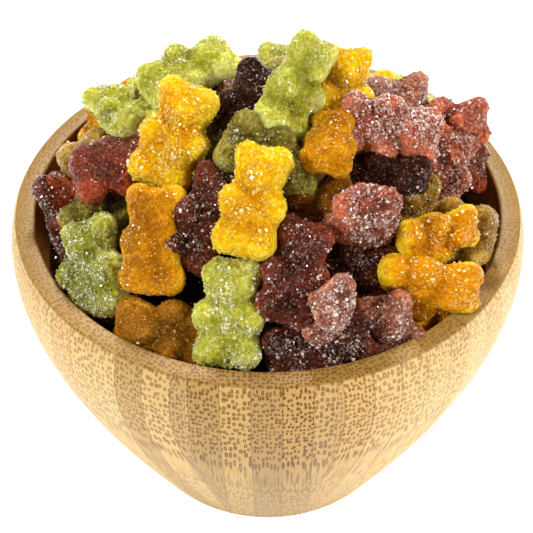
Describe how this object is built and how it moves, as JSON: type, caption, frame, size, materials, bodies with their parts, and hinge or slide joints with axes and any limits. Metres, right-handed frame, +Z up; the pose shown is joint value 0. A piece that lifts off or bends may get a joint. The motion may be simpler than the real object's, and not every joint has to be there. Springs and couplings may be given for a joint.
{
  "type": "gummy bears in a bamboo bowl",
  "caption": "Round bamboo bowl with a narrow foot, heaped with sugar-dusted gummy bears in green, yellow, amber and plum.",
  "frame": {"origin": "middle of the bowl's flat foot, on the surface that it stands on", "axes": "+Z up along the bowl's axis, -Y towards the side of the heap that the upright green bear stands on"},
  "size_m": [0.1234, 0.1234, 0.1263],
  "materials": {
    "bamboo": "clear-oiled laminated bamboo, satin",
    "sugared_jelly": "translucent fruit jelly dusted with sugar"
  },
  "bodies": {
    "root": {"bamboo_bowl": "bamboo", "gummy_bear_heap": "sugared_jelly"}
  },
  "joints": []
}
